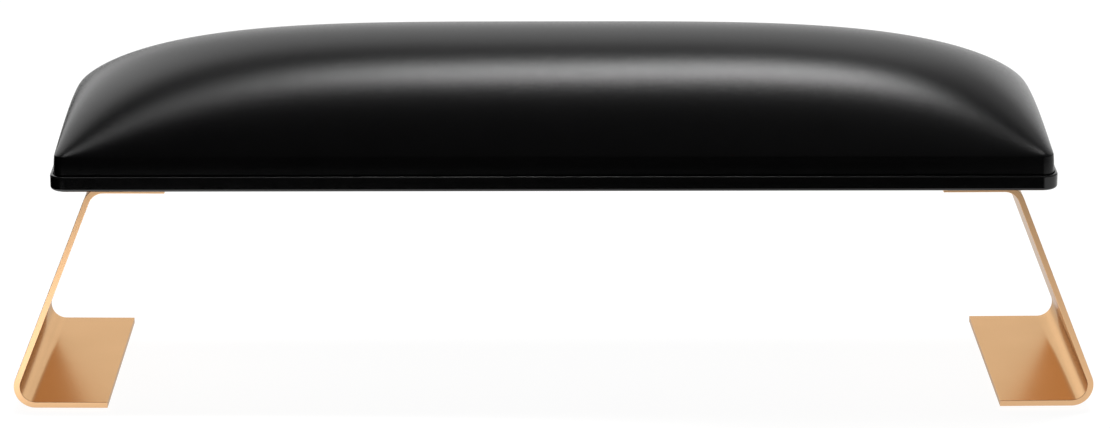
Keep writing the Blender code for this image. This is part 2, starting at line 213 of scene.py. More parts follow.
# How far strokes and wood grain are drawn out, and the thickness of a ply
STROKE_STRETCH = (1.0, 0.03, 1.0)
WOOD_STRETCH = (4.0, 60.0, 60.0)
SHEARED_FACING = (0.7, 0.95)
PLY_THICKNESS = 0.0016

# Sockets of a colour mix
MIX_FIRST = 6
MIX_SECOND = 7
MIX_RESULT = 2

# Camera, from the photograph's perspective
CAMERA_PLACE = (-0.0128, -1.7312, 0.5886)
CAMERA_YAW = math.radians(0.448)
CAMERA_PITCH = math.radians(16.776)
CAMERA_ROLL = math.radians(0.032)
CAMERA_LENS = 142.56
SENSOR_WIDTH = 36.0

# Studio
FLOOR_FRONT = -0.27
FLOOR_LEFT = -0.34
FLOOR_REACH = 3.0
FLOOR_SIDE_START = 0.30
FLOOR_SIDE_FRONT = -0.62
FLOOR_COLOR = 0.82
FLOOR_WHITE = 1.12
FLOOR_WHITE_SHARE = 0.84
SOFTBOX_PLACE = (0.24, 0.62, 2.6)
SOFTBOX_SIZE = (1.00, 0.48)
SOFTBOX_TURN = math.radians(23)
SOFTBOX_POWER = 41.5
SIDE_BOX_PLACE = (-0.62, 0.33, 2.6)
SIDE_BOX_SIZE = (0.80, 0.55)
SIDE_BOX_POWER = 6.5
WORLD_FRONT = 0.09
WORLD_BACK = 1.22
WORLD_TOP = 0.12
WORLD_BELOW = 0.03

# Glow of the floor in front of what the camera sees: soft borders and gains
FLOOR_GLOW_BORDER = (-0.055, -0.10)
FLOOR_GLOW_SPAN = (-0.3, 0.1)
FLOOR_GLOW_GAINS = (1.5, 0.05)

# Studio walls: soft borders in a direction's parts, or in its turn, which is X over Y
RISE_BORDER = (0.25, 0.72)
RISE_GAIN = 1.5
TOP_BORDER = (0.70, 0.83)
LEFT_PANEL = ((-0.76, -0.60), (-0.42, -0.18))
LEFT_PANEL_GAIN = 0.43
RIGHT_PANEL = ((0.28, 0.48), (0.68, 0.82))
RIGHT_PANEL_BORDER = (0.38, 0.52)
RIGHT_PANEL_GAINS = (0.3, -0.45)
LEFT_END_BORDER = (-1.3, -0.7)
RIGHT_END_BORDER = (0.70, 0.95)
RIGHT_END_GAIN = 0.42
BACK_BORDER = (-0.35, 0.25)
HORIZON_BORDER = (-0.08, 0.0)
FRONT_BORDER = (-0.2, 0.35)
FRONT_GAIN = 3.6
LEAST_DEPTH = 0.05


# Plan outlines

def plan_size(inset):
    """Half length, half width and corner radius of the tray's outline, moved in by inset."""
    radius = max(TRAY_CORNER_RADIUS - inset, SEAT_GAP)
    return TRAY_HIGH.x - inset, TRAY_HIGH.y - inset, radius


def corner_points(inset):
    """Points (x, y) of the corner at -X, +Y, from the end's straight to the side's straight."""
    half_x, half_y, radius = plan_size(inset)
    points = []
    for step in range(CORNER_STEPS + 1):
        turn = math.pi / 2 * step / CORNER_STEPS
        x = -half_x + radius * (1 - math.cos(turn))
        y = half_y - radius * (1 - math.sin(turn))
        points.append((x, y))
    return points


def plain_loop(inset):
    """A rectangle with round corners, anticlockwise from above."""
    corner = corner_points(inset)
    loop = [(x, -y) for x, y in corner]
    loop += [(-x, -y) for x, y in reversed(corner)]
    loop += [(-x, y) for x, y in corner]
    loop += [(x, y) for x, y in reversed(corner)]
    return loop


def plan_columns(inset):
    """Columns of (x, y) points from -X to +X that fill the outline, closest at its edges."""
    corner = corner_points(inset)
    straight = -corner[-1][0]
    reach = corner[-1][1]
    steps = range(1, LENGTH_STEPS)
    middle = [(-straight * math.cos(math.pi * step / LENGTH_STEPS), reach) for step in steps]
    ends = [(-x, y) for x, y in reversed(corner)]
    shares = [-math.cos(math.pi * step / WIDTH_STEPS) for step in range(WIDTH_STEPS + 1)]
    return [[(x, y * share) for share in shares] for x, y in corner + middle + ends]


def rim_of(columns):
    """The border of a grid of columns, anticlockwise from above."""
    rim = [column[0] for column in columns]
    rim += columns[-1][1:]
    rim += [column[-1] for column in reversed(columns[:-1])]
    rim += reversed(columns[0][1:-1])
    return rim


def rim_points(inset):
    return rim_of(plan_columns(inset))


# Mesh building

def ring_verts(bm, loop, heights):
    """Vertices over the loop, at one height or at a height for each point."""
    if isinstance(heights, float):
        heights = [heights] * len(loop)
    return [bm.verts.new((x, y, z)) for (x, y), z in zip(loop, heights)]


def bridge(bm, lower, upper):
    count = len(lower)
    for index in range(count):
        after = (index + 1) % count
        bm.faces.new((lower[index], lower[after], upper[after], upper[index]))


def bridge_all(bm, rings):
    for lower, upper in zip(rings, rings[1:]):
        bridge(bm, lower, upper)


def grid_faces(bm, grid):
    for left, right in zip(grid, grid[1:]):
        for row in range(len(left) - 1):
            bm.faces.new((left[row], right[row], right[row + 1], left[row + 1]))


def turned(bm, profile, center=(0.0, 0.0), sides=ROUND_SIDES):
    """A solid turned round the vertical through center; the profile starts and ends on the axis."""
    rings = []
    for radius, z in profile[1:-1]:
        turns = [math.tau * side / sides for side in range(sides)]
        ring = [(radius * math.cos(turn), radius * math.sin(turn)) for turn in turns]
        loop = [(center[0] + x, center[1] + y) for x, y in ring]
        rings.append(ring_verts(bm, loop, float(z)))
    bridge_all(bm, rings)
    close_end(bm, rings[0], (*center, profile[0][1]))
    close_end(bm, rings[-1], (*center, profile[-1][1]))


def close_end(bm, ring, pole):
    tip = bm.verts.new(pole)
    for index in range(len(ring)):
        bm.faces.new((ring[index], ring[(index + 1) % len(ring)], tip))


def finish_object(name, bm, finish, sharp=35):
    """Turns the bmesh into an object with outward faces, smooth but for its real edges."""
    bmesh.ops.recalc_face_normals(bm, faces=bm.faces)
    data = bpy.data.meshes.new(name)
    bm.to_mesh(data)
    bm.free()
    data.shade_smooth()
    data.set_sharp_from_angle(angle=math.radians(sharp))
    data.materials.append(finish)
    obj = bpy.data.objects.new(name, data)
    bpy.context.scene.collection.objects.link(obj)
    return obj


def use_boolean(obj, operation, other):
    """Applies the Boolean at once and removes its cutter."""
    modifier = obj.modifiers.new(operation.lower(), "BOOLEAN")
    modifier.operation = operation
    modifier.solver = "EXACT"
    modifier.object = other
    apply_modifiers(obj)
    bpy.data.objects.remove(other, do_unlink=True)


def merge_close(obj):
    """Joins the points that a Boolean leaves almost in one place."""
    bm = bmesh.new()
    bm.from_mesh(obj.data)
    bmesh.ops.remove_doubles(bm, verts=bm.verts, dist=CLOSE_POINTS)
    bmesh.ops.dissolve_degenerate(bm, edges=bm.edges, dist=CLOSE_POINTS)
    bm.to_mesh(obj.data)
    bm.free()


def apply_modifiers(obj):
    graph = bpy.context.evaluated_depsgraph_get()
    made = bpy.data.meshes.new_from_object(obj.evaluated_get(graph))
    obj.modifiers.clear()
    obj.data = made


def use_bevel(obj, width, segments, angle):
    modifier = obj.modifiers.new("edges", "BEVEL")
    modifier.width = width
    modifier.segments = segments
    modifier.limit_method = "ANGLE"
    modifier.angle_limit = math.radians(angle)
    apply_modifiers(obj)


def weight_normals(obj):
    """Keeps the large flat faces flat in shade beside their rounded edges."""
    modifier = obj.modifiers.new("flat faces", "WEIGHTED_NORMAL")
    modifier.weight = FLAT_FACE_WEIGHT
    modifier.keep_sharp = True


def cylinders(name, centers, radius, bottom, top):
    bm = bmesh.new()
    for center in centers:
        turned(bm, [(0, bottom), (radius, bottom), (radius, top), (0, top)], center)
    return finish_object(name, bm, None)


def box_cutters(name, boxes):
    bm = bmesh.new()
    for low, high in boxes:
        size = high - low
        place = Matrix.Translation((low + high) / 2) @ Matrix.Diagonal((*size, 1.0))
        bmesh.ops.create_cube(bm, size=1.0, matrix=place)
    return finish_object(name, bm, None)


# Places of the fasteners, read from the frame

def nodes_called(prefix):
    return sorted(name for name in frame["nodes"] if name.startswith(prefix))


def center_of(name):
    low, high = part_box(name)
    return (low + high) / 2


def plan_centers(prefix):
    return [tuple(center_of(name).xy) for name in nodes_called(prefix)]


def staple_leg_boxes():
    """A box round each staple leg, wider by the clearance, from below the hem up into the board."""
    boxes = []
    for name in nodes_called("staple_"):
        low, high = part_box(name)
        along = 0 if high.x - low.x > high.y - low.y else 1
        for at_high in (False, True):
            start, end = low.copy(), high.copy()
            if at_high:
                start[along] = high[along] - STAPLE_WIRE
            else:
                end[along] = low[along] + STAPLE_WIRE
            margin = Vector((STAPLE_CLEARANCE,) * 3)
            start.z = HEM_BOTTOM
            boxes.append((start - margin, end + margin))
    return boxes


# The pad

def dome_height(x, y, inset, rise):
    """Height of the dome that springs from the outline at inset."""
    half_x, half_y, radius = plan_size(inset + BAND_LEAN)
    past = max(abs(x) - (half_x - radius), 0)
    reach = half_y - radius + math.sqrt(max(radius ** 2 - past ** 2, 0))
    along = max(1 - abs(x / half_x) ** DOME_END_POWER, 0) ** DOME_END_ROUNDNESS
    across = max(1 - (y / reach) ** 2, 0) ** DOME_SIDE_ROUNDNESS
    return SHOULDER + rise * along * across


def dome_grid(bm, inset, rise, drawn_in=0.0):
    """The dome's vertices, over its own outline or over one drawn in from it."""
    columns = plan_columns(inset + BAND_LEAN + drawn_in)
    grid = []
    for column in columns:
        grid.append([bm.verts.new((x, y, dome_height(x, y, inset, rise))) for x, y in column])
    return grid


def crease_rings(bm, rim):
    """Rounds the dome's foot over the shoulder, down to the upright band."""
    heights = [vertex.co.z for vertex in rim]
    inner = rim_points(PAD_INSET + BAND_LEAN + CREASE_REACH * (1 + CREASE_SLOPE_STEP))
    above = [dome_height(x, y, PAD_INSET, DOME_RISE) for x, y in inner]
    bends = [z - (up - z) / CREASE_SLOPE_STEP for z, up in zip(heights, above)]
    lowest = SHOULDER - CREASE_DROP
    bends = [max(z, lowest + CREASE_DROP * CREASE_BEND_LEAST) for z in bends]
    rings = []
    for step in range(1, CREASE_STEPS + 1):
        done = step / CREASE_STEPS
        left = 1 - done
        inset = PAD_INSET + BAND_LEAN + CREASE_REACH * left ** 2
        curve = []
        for start, bend in zip(heights, bends):
            curve.append(left ** 2 * start + 2 * done * left * bend + done ** 2 * lowest)
        rings.append(ring_verts(bm, rim_points(inset), curve))
    return rings


def band_rings(bm):
    """The band, a little pillowed above the tray's rim and upright inside it."""
    top = SHOULDER - CREASE_DROP
    low = RIM_TOP + SEAT_GAP
    rings = []
    for step in range(1, BAND_STEPS + 1):
        share = step / BAND_STEPS
        swell = BAND_PILLOW * math.sin(math.pi * share)
        inset = PAD_INSET + BAND_LEAN * (1 - share) - swell
        rings.append(ring_verts(bm, rim_points(inset), top + (low - top) * share))
    return rings


def fold_rings(bm):
    """The fold at the band's foot, where the skin turns under the board."""
    rings = []
    for step in range(FOLD_STEPS + 1):
        turn = math.pi / 2 * step / FOLD_STEPS
        inset = PAD_INSET + HEM_FOLD_RADIUS * (1 - math.cos(turn))
        height = HEM_BOTTOM + HEM_FOLD_RADIUS * (1 - math.sin(turn))
        rings.append(ring_verts(bm, rim_points(inset), height))
    return rings


def cushion_cover(finish):
    bm = bmesh.new()
    outer = dome_grid(bm, PAD_INSET, DOME_RISE, CREASE_REACH)
    inner = dome_grid(bm, SKIN_INSET, DOME_RISE - LEATHER)
    rings = [rim_of(outer)]
    rings += crease_rings(bm, rings[0])
    rings += band_rings(bm)
    rings += fold_rings(bm)
    rings.append(ring_verts(bm, rim_points(HEM_INSET), HEM_BOTTOM))
    rings.append(ring_verts(bm, rim_points(HEM_INSET), HEM_BOTTOM + LEATHER))
    rings.append(ring_verts(bm, rim_points(SKIN_INSET), HEM_BOTTOM + LEATHER))
    rings.append(rim_of(inner))
    bridge_all(bm, rings)
    grid_faces(bm, outer)
    grid_faces(bm, inner)
    cover = finish_object("cushion_cover", bm, finish, sharp=60)
    use_boolean(cover, "DIFFERENCE", box_cutters("slots", staple_leg_boxes()))
    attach(cover, "root")
    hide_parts("leather_cover")


def cushion_foam(finish):
    bm = bmesh.new()
    grid = dome_grid(bm, BOARD_INSET, FOAM_HIGH.z - SHOULDER)
    bottom = ring_verts(bm, rim_points(BOARD_INSET), FOAM_LOW.z)
    bridge(bm, bottom, rim_of(grid))
    grid_faces(bm, grid)
    bm.faces.new(bottom)
    foam = finish_object("cushion_foam", bm, finish)
    low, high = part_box("tee_nut_left_1")
    radius = (high.x - low.x) / 2 + SEAT_GAP
    pockets = cylinders("pockets", plan_centers("tee_nut_"), radius, BOARD_HIGH.z, high.z + SEAT_GAP)
    use_boolean(foam, "DIFFERENCE", pockets)
    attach(foam, "root")
    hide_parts("foam_core")


# The tray

def arc(center, radius, start, end, steps):
    """Points of an arc from one angle to another, in degrees."""
    points = []
    for step in range(steps + 1):
        angle = math.radians(start + (end - start) * step / steps)
        points.append((center[0] + radius * math.cos(angle), center[1] + radius * math.sin(angle)))
    return points


def tray_wall_profile():
    """(inset, height) from the underside, round the lower edge, over the rim and down inside."""
    top = RIM_TOP - TRAY_LOW.z
    profile = arc((TRAY_EDGE_RADIUS, TRAY_EDGE_RADIUS), TRAY_EDGE_RADIUS, 270, 180, EDGE_STEPS * 2)
    profile += arc((RIM_EDGE_RADIUS, top - RIM_EDGE_RADIUS), RIM_EDGE_RADIUS, 180, 90, EDGE_STEPS)
    inner = (TRAY_RIM - RIM_CHAMFER, top - RIM_CHAMFER)
    profile += arc(inner, RIM_CHAMFER, 90, 0, EDGE_STEPS)
    profile.append((TRAY_RIM, TRAY_FLOOR))
    return profile


def moulded_tray(finish):
    bm = bmesh.new()
    rings = []
    for inset, height in tray_wall_profile():
        rings.append(ring_verts(bm, plain_loop(inset), TRAY_LOW.z + height))
    bridge_all(bm, rings)
    bm.faces.new(rings[0])
    bm.faces.new(rings[-1])
    tray = finish_object("moulded_tray", bm, finish)
    centers = plan_centers("screw_")
    boss_foot = TRAY_LOW.z + TRAY_FLOOR / 2
    boss_top = BOARD_LOW.z - SEAT_GAP
    use_boolean(tray, "UNION", cylinders("bosses", centers, BOSS_RADIUS, boss_foot, boss_top))
    hole = SCREW_RADIUS + SCREW_CLEARANCE
    holes = cylinders("holes", centers, hole, TRAY_LOW.z - SHEET, BOARD_LOW.z)
    use_boolean(tray, "DIFFERENCE", holes)
    merge_close(tray)
    weight_normals(tray)
    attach(tray, "root")
    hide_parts("base_tray")


# The legs

def leg_profile():
    """Closed (x, z) outline of the leg at +X: foot, slanted web and top flange."""
    outer = BEND_RADIUS + SHEET
    flange_corner_x = TRAY_HIGH.x - LEG_INSET
    flange_bend_x = flange_corner_x - outer * math.tan(math.radians(45) - LEG_LEAN / 2)
    flange_end_x = flange_corner_x - FLANGE_LENGTH
    foot_corner_x = flange_corner_x + (LEG_HIGH.z - LEG_LOW.z) * math.tan(LEG_LEAN)
    foot_bend_x = foot_corner_x - outer * math.tan(math.radians(45) + LEG_LEAN / 2)
    foot_end_x = foot_bend_x + outer - FOOT_LENGTH
    foot_center = (foot_bend_x, LEG_LOW.z + outer)
    flange_center = (flange_bend_x, LEG_HIGH.z - outer)
    lean = math.degrees(LEG_LEAN)
    points = arc(foot_center, outer, -90, lean, BEND_STEPS)
    points += arc(flange_center, outer, lean, 90, BEND_STEPS)
    points += [(flange_end_x, LEG_HIGH.z), (flange_end_x, LEG_HIGH.z - SHEET)]
    points += arc(flange_center, BEND_RADIUS, 90, lean, BEND_STEPS)
    points += arc(foot_center, BEND_RADIUS, lean, -90, BEND_STEPS)
    points += [(foot_end_x, LEG_LOW.z + SHEET), (foot_end_x, LEG_LOW.z)]
    return points


def leg_side(bm, sign, depth):
    """The leg's outline at a depth, turned about its screws."""
    pivot = (SCREW_LOW.x + SCREW_HIGH.x) / 2
    side = []
    for x, z in leg_profile():
        out = x - pivot
        turned_x = pivot + out * math.cos(LEG_TURN) - depth * math.sin(LEG_TURN)
        turned_y = out * math.sin(LEG_TURN) + depth * math.cos(LEG_TURN)
        side.append(bm.verts.new((sign * turned_x, turned_y, z)))
    return side


def bent_leg(name, node, sign, finish):
    bm = bmesh.new()
    half_depth = TRAY_HIGH.y - LEG_SETBACK
    front = leg_side(bm, sign, -half_depth)
    rear = leg_side(bm, sign, half_depth)
    bridge(bm, front, rear)
    bm.faces.new(front)
    bm.faces.new(rear)
    leg = finish_object(name, bm, finish)
    use_bevel(leg, SHEET_EDGE_RADIUS, SHEET_EDGE_STEPS, SHEET_EDGE_ANGLE)
    side = "right" if sign > 0 else "left"
    centers = plan_centers(f"screw_{side}")
    hole = SCREW_RADIUS + SCREW_CLEARANCE
    holes = cylinders("holes", centers, hole, LEG_HIGH.z - 2 * SHEET, LEG_HIGH.z + SHEET)
    use_boolean(leg, "DIFFERENCE", holes)
    weight_normals(leg)
    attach(leg, "root")
    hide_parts(node)


# Screws and discs

def cross_cutter(bottom):
    """The head's recess: a plus sign that tapers towards its floor."""
    half = CROSS_WIDTH / 2
    reach = CROSS_SPAN / 2
    quarter = [(half, half), (reach, half), (reach, -half)]
    plus = []
    for turn in range(4):
        angle = -math.pi / 2 * turn
        for x, y in quarter:
            turned_x = x * math.cos(angle) - y * math.sin(angle)
            turned_y = x * math.sin(angle) + y * math.cos(angle)
            plus.append((turned_x, turned_y))
    bm = bmesh.new()
    wide = ring_verts(bm, plus, bottom - CROSS_DEPTH)
    level = ring_verts(bm, plus, bottom)
    narrow = [(x * CROSS_TAPER, y * CROSS_TAPER) for x, y in plus]
    deep = ring_verts(bm, narrow, bottom + CROSS_DEPTH)
    bridge_all(bm, [wide, level, deep])
    bm.faces.new(wide)
    bm.faces.new(deep)
    return finish_object("cross", bm, None)


def thread_radius(angle, height, length):
    """Radius of the shaft at a place on it: a V thread that starts under the head."""
    turn = (height / THREAD_PITCH - angle / math.tau) % 1
    groove = THREAD_DEPTH * abs(2 * turn - 1)
    fade = min(height / THREAD_PITCH, 1) * min((length - height) / SCREW_TIP, 1)
    chamfer = max(SCREW_TIP - (length - height), 0)
    return SCREW_RADIUS - groove * max(fade, 0) - chamfer


def screw_mesh(low, high, finish):
    """One pan head screw at the origin, its seat at zero."""
    head = SCREW_HEAD_HEIGHT
    radius = (high.x - low.x) / 2
    length = high.z - low.z - head
    bm = bmesh.new()
    rings = []
    turns = [math.tau * side / SHAFT_SIDES for side in range(SHAFT_SIDES)]
    rim = head * HEAD_RIM_SHARE
    profile = []
    for degrees in HEAD_DOME_ANGLES:
        angle = math.radians(degrees)
        profile.append((radius * math.sin(angle), -rim - (head - rim) * math.cos(angle)))
    profile += [(radius, 0.0), (SCREW_RADIUS, 0.0)]
    for ring_radius, z in profile:
        loop = [(ring_radius * math.cos(turn), ring_radius * math.sin(turn)) for turn in turns]
        rings.append(ring_verts(bm, loop, float(z)))
    count = int(length / THREAD_PITCH * THREAD_STEPS)
    for step in range(1, count + 1):
        z = length * step / count
        loop = []
        for turn in turns:
            reach = thread_radius(turn, z, length)
            loop.append((reach * math.cos(turn), reach * math.sin(turn)))
        rings.append(ring_verts(bm, loop, z))
    bridge_all(bm, rings)
    close_end(bm, rings[0], (0, 0, -head))
    close_end(bm, rings[-1], (0, 0, length))
    screw = finish_object("pan_screw", bm, finish, sharp=50)
    use_boolean(screw, "DIFFERENCE", cross_cutter(-head))
    data = screw.data
    bpy.data.objects.remove(screw, do_unlink=True)
    return data


def pan_screws(finish):
    names = nodes_called("screw_")
    data = screw_mesh(*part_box(names[0]), finish)
    for name in names:
        low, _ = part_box(name)
        center = center_of(name)
        screw = bpy.data.objects.new(f"pan_{name}", data)
        bpy.context.scene.collection.objects.link(screw)
        screw.location = (center.x, center.y, low.z + SCREW_HEAD_HEIGHT)
        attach(screw, "root")
        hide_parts(name)


def foot_grips(finish):
    names = nodes_called("grip_")
    low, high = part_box(names[0])
    radius = (high.x - low.x) / 2
    edge = GRIP_EDGE_RADIUS
    profile = [(0, 0)]
    profile += arc((radius - edge, edge), edge, -90, 0, EDGE_STEPS)
    profile += [(radius, high.z - low.z), (0, high.z - low.z)]
    for name in names:
        bm = bmesh.new()
        low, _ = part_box(name)
        center = center_of(name)
        turned(bm, [(reach, z + low.z) for reach, z in profile], (center.x, center.y))
        grip = finish_object(f"foot_{name}", bm, finish)
        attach(grip, "root")
        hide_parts(name)


# Materials

class Nodes:
    """A material's node tree, with one short call for each kind of node."""

    def __init__(self, name):
        self.material = bpy.data.materials.new(name)
        self.material.use_nodes = True
        self.tree = self.material.node_tree
        self.shader = self.tree.nodes["Principled BSDF"]

    def add(self, kind, values=None, links=None, **settings):
        node = self.tree.nodes.new(kind)
        for key, value in settings.items():
            setattr(node, key, value)
        for key, value in (values or {}).items():
            node.inputs[key].default_value = value
        for key, socket in (links or {}).items():
            self.tree.links.new(socket, node.inputs[key])
        return node

    def link(self, socket, name):
        self.tree.links.new(socket, self.shader.inputs[name])

    def set(self, **values):
        for key, value in values.items():
            self.shader.inputs[key.replace("_", " ")].default_value = value

    def place(self, stretch=(1.0, 1.0, 1.0)):
        """Object coordinates in metres, stretched along an axis."""
        source = self.add("ShaderNodeTexCoord").outputs["Object"]
        return self.add("ShaderNodeMapping", {"Scale": stretch}, {"Vector": source}).outputs[0]

    def facing(self, axis):
        """How much the surface faces along an axis, either way."""
        normal = self.add("ShaderNodeTexCoord").outputs["Normal"]
        along = self.add("ShaderNodeSeparateXYZ", links={"Vector": normal}).outputs[axis]
        return self.maths("ABSOLUTE", along, 0.0)

    def noise(self, place, scale, detail=4.0, roughness=0.55):
        """A cloudy value with scale features to the metre."""
        values = {"Scale": scale, "Detail": detail, "Roughness": roughness}
        return self.add("ShaderNodeTexNoise", values, {"Vector": place}).outputs["Fac"]

    def cells(self, place, scale, feature="F1"):
        """The distance within cells, of which there are scale to the metre."""
        node = self.add("ShaderNodeTexVoronoi", {"Scale": scale}, {"Vector": place}, feature=feature)
        return node.outputs["Distance"]

    def ranged(self, value, low, high, from_low=TONE_SPAN[0], from_high=TONE_SPAN[1]):
        """Goes from low to high while value goes from from_low to from_high."""
        values = {"From Min": from_low, "From Max": from_high, "To Min": low, "To Max": high}
        return self.add("ShaderNodeMapRange", values, {"Value": value}).outputs["Result"]

    def toned(self, value, tones, span=TONE_SPAN):
        """A blend from the dark tone to the pale one while value goes through span."""
        node = self.add("ShaderNodeValToRGB", links={"Fac": value})
        for point, position, tone in zip(node.color_ramp.elements, span, tones):
            point.position = position
            point.color = (*tone, 1.0)
        return node.outputs["Color"]

    def maths(self, operation, first, second):
        return calculated(self.tree, operation, first, second)

    def bump(self, height, depth, strength, over=None):
        """A relief of a depth in metres, on top of another one where that is given."""
        values = {"Strength": strength, "Distance": depth}
        links = {"Height": height}
        if over:
            links["Normal"] = over
        return self.add("ShaderNodeBump", values, links).outputs["Normal"]


def leatherette():
    made = Nodes("black leatherette")
    place = made.place()
    made.link(made.toned(made.noise(place, LEATHER_CLOUDS), LEATHER_TONES), "Base Color")
    made.link(made.ranged(made.noise(place, LEATHER_SHEEN, detail=3.0), *LEATHER_ROUGHNESS), "Roughness")
    grain = made.cells(place, LEATHER_GRAIN, "DISTANCE_TO_EDGE")
    pores = made.noise(place, LEATHER_PORES, detail=2.0)
    fine = made.bump(pores, PORE_DEPTH, strength=0.5)
    raised = made.ranged(grain, 0.0, 1.0, 0.0, GRAIN_WIDTH)
    made.link(made.bump(raised, GRAIN_DEPTH, strength=0.6, over=fine), "Normal")
    made.set(Specular_IOR_Level=LEATHER_SPECULAR)
    return made.material


def tray_plastic():
    made = Nodes("moulded black plastic")
    place = made.place()
    made.link(made.toned(made.noise(place, TRAY_CLOUDS), TRAY_TONES), "Base Color")
    made.link(made.ranged(made.noise(place, TRAY_SHEEN), *TRAY_ROUGHNESS), "Roughness")
    relief = made.noise(place, TRAY_GRAIN, detail=3.0)
    made.link(made.bump(relief, TRAY_DEPTH, strength=0.5), "Normal")
    made.set(Specular_IOR_Level=TRAY_SPECULAR)
    return made.material


def rose_gold():
    """Satin plated sheet: fine strokes along its depth, matter sheared edges, a dull grazing shine."""
    made = Nodes("rose gold plate")
    strokes = made.noise(made.place(STROKE_STRETCH), GOLD_STROKES, detail=3.0)
    cloud = made.noise(made.place(), GOLD_CLOUDS, detail=3.0)
    made.link(made.toned(cloud, GOLD_TONES), "Base Color")
    sheared = made.ranged(made.facing("Y"), *SHEARED_ROUGHNESS, *SHEARED_FACING)
    satin = made.ranged(strokes, *GOLD_ROUGHNESS)
    made.link(made.maths("ADD", satin, sheared), "Roughness")
    made.link(made.bump(strokes, STROKE_DEPTH, strength=0.4), "Normal")
    made.set(Metallic=1.0, Specular_Tint=GOLD_GRAZING_TINT)
    return made.material


def zinc_plate():
    made = Nodes("zinc plate")
    place = made.place()
    made.link(made.toned(made.noise(place, ZINC_CLOUDS), ZINC_TONES), "Base Color")
    made.link(made.ranged(made.noise(place, ZINC_SHEEN), *ZINC_ROUGHNESS), "Roughness")
    made.link(made.bump(made.noise(place, ZINC_GRAIN), ZINC_DEPTH, strength=0.4), "Normal")
    made.set(Metallic=1.0)
    return made.material


def plywood():
    """Faces with long grain, and edges that show the plies."""
    made = Nodes("plywood")
    grain = made.noise(made.place(WOOD_STRETCH), WOOD_GRAIN, detail=6.0, roughness=0.6)
    wood = made.toned(grain, WOOD_TONES)
    height = made.add("ShaderNodeSeparateXYZ", links={"Vector": made.place()}).outputs["Z"]
    layer = made.ranged(made.maths("MODULO", height, PLY_THICKNESS), 0.0, 1.0, 0.0, PLY_THICKNESS)
    ply = made.toned(layer, PLY_TONES, PLY_SPAN)
    on_edge = made.ranged(made.facing("Z"), 1.0, 0.0)
    mixed = made.add("ShaderNodeMix", data_type="RGBA", blend_type="MULTIPLY")
    made.tree.links.new(on_edge, mixed.inputs["Factor"])
    made.tree.links.new(wood, mixed.inputs[MIX_FIRST])
    made.tree.links.new(ply, mixed.inputs[MIX_SECOND])
    made.link(mixed.outputs[MIX_RESULT], "Base Color")
    made.link(made.ranged(grain, *WOOD_ROUGHNESS), "Roughness")
    made.link(made.bump(grain, WOOD_DEPTH, strength=0.4), "Normal")
    return made.material


def moulded_foam():
    made = Nodes("moulded foam")
    place = made.place()
    cells = made.cells(place, FOAM_CELLS)
    made.link(made.toned(cells, FOAM_TONES, FOAM_SPAN), "Base Color")
    made.link(made.ranged(made.noise(place, FOAM_CLOUDS), *FOAM_ROUGHNESS), "Roughness")
    made.link(made.bump(cells, FOAM_DEPTH, strength=0.6), "Normal")
    return made.material


def grip_rubber():
    made = Nodes("grip rubber")
    place = made.place()
    made.link(made.toned(made.noise(place, RUBBER_CLOUDS), RUBBER_TONES), "Base Color")
    made.link(made.ranged(made.noise(place, RUBBER_SHEEN), *RUBBER_ROUGHNESS), "Roughness")
    made.link(made.bump(made.noise(place, RUBBER_GRAIN), RUBBER_DEPTH, strength=0.5), "Normal")
    return made.material


def finish_nodes(prefix, finish):
    """Gives the CAD nodes that stay their finish."""
    for name in nodes_called(prefix):
        node = frame["nodes"][name]
        node.material_slots[0].material = finish


# Studio

def seen_rays(tree):
    """1 for what a camera, glossy or transmission ray meets, else 0."""
    path = tree.nodes.new("ShaderNodeLightPath")
    total = path.outputs["Is Camera Ray"]
    for name in ("Is Glossy Ray", "Is Transmission Ray"):
        total = calculated(tree, "MAXIMUM", total, path.outputs[name])
    return total


def calculated(tree, operation, first, second):
    """The result of an operation on two values, each a float or the socket of a node."""
    node = tree.nodes.new("ShaderNodeMath")
    node.operation = operation
    for socket, value in zip(node.inputs, (first, second)):
        if isinstance(value, float):
            socket.default_value = value
        else:
            tree.links.new(value, socket)
    return node.outputs[0]


def stepped(tree, value, border, low, high):
    """A smooth step from low to high while value goes through the border."""
    node = tree.nodes.new("ShaderNodeMapRange")
    node.interpolation_type = "SMOOTHSTEP"
    names = ("From Min", "From Max", "To Min", "To Max")
    for name, number in zip(names, (*border, low, high)):
        node.inputs[name].default_value = number
    tree.links.new(value, node.inputs["Value"])
    return node.outputs["Result"]


def between(tree, value, entry, leaving):
    """1 between the two borders, each of which is a soft one."""
    inside = stepped(tree, value, entry, 0.0, 1.0)
    return calculated(tree, "MULTIPLY", inside, stepped(tree, value, leaving, 1.0, 0.0))


def parted(tree, output):
    """The three parts of a texture coordinate."""
    source = tree.nodes.new("ShaderNodeTexCoord").outputs[output]
    node = tree.nodes.new("ShaderNodeSeparateXYZ")
    tree.links.new(source, node.inputs[0])
    return node.outputs


